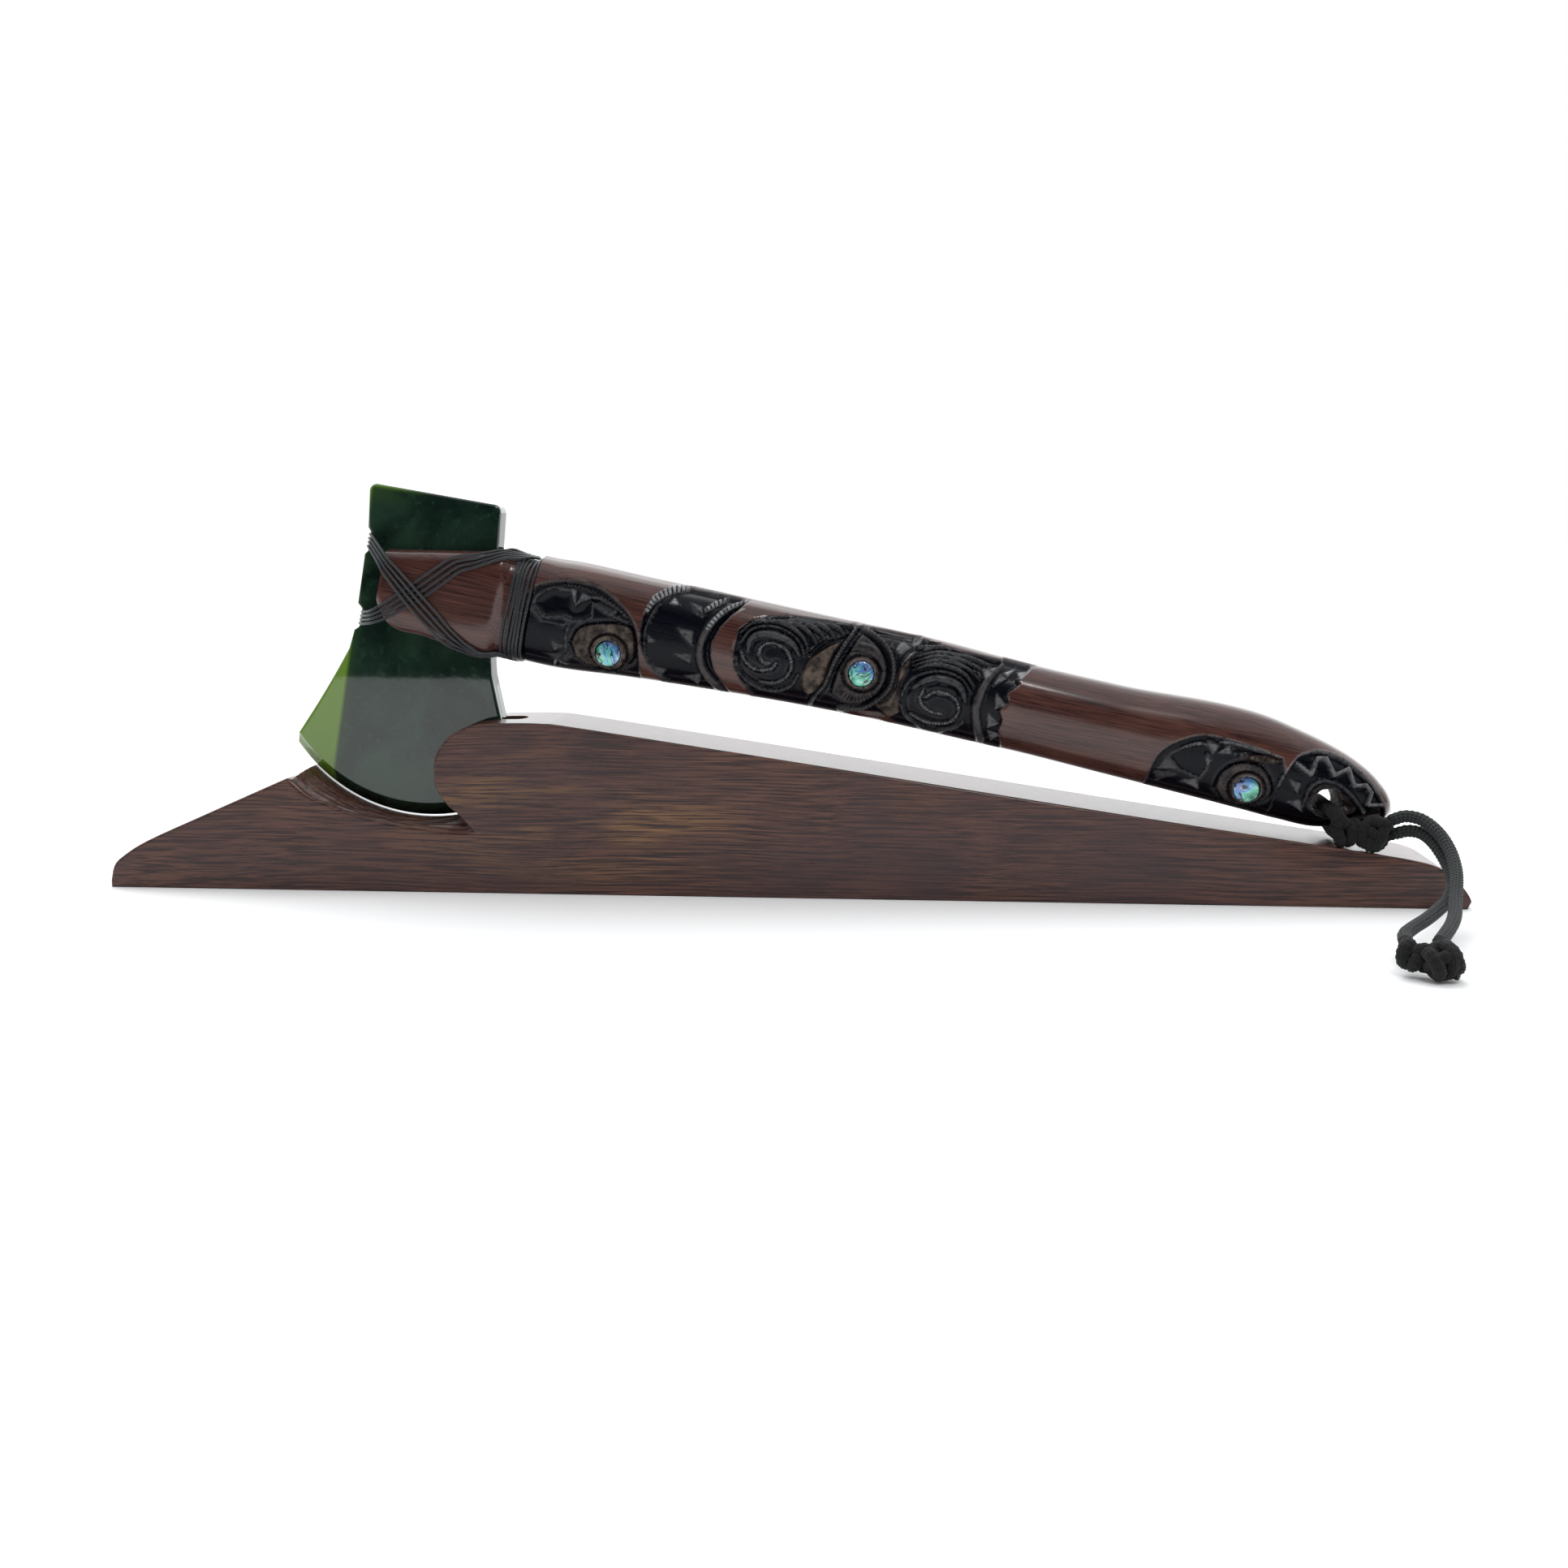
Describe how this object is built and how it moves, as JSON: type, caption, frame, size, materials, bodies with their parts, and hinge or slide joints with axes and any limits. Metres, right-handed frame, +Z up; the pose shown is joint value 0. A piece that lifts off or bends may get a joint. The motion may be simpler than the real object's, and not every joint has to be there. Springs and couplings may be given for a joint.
{
  "type": "hafted greenstone axe",
  "caption": "Flat greenstone blade with a curved edge, lashed into a carved wooden handle with a wrist cord, lying in a slotted wooden wedge stand.",
  "frame": {"origin": "middle of the stand's underside, on the floor", "axes": "+X along the stand from its toe to its tail, which is also from the axe's head to its butt; +Y from the pictured front to the back; +Z up"},
  "size_m": [0.4598, 0.1349, 0.1383],
  "materials": {
    "stand_wood": "dark stained and varnished",
    "handle_wood": "dark red-brown and black, polished",
    "greenstone": "polished, faintly translucent nephrite",
    "paua_shell": "iridescent, polished",
    "black_cord": "waxed and braided cord"
  },
  "bodies": {
    "root": {"stand": "stand_wood", "handle": "handle_wood", "blade": "greenstone", "lashing": "black_cord", "wrist_cord_hitch": "black_cord", "wrist_cord_right": "black_cord", "wrist_cord_left": "black_cord", "wrist_cord_knot": "black_cord", "shell_eye_front_1": "paua_shell", "shell_eye_front_2": "paua_shell", "shell_eye_front_3": "paua_shell", "shell_eye_back_1": "paua_shell", "shell_eye_back_2": "paua_shell", "shell_eye_back_3": "paua_shell"}
  },
  "joints": []
}
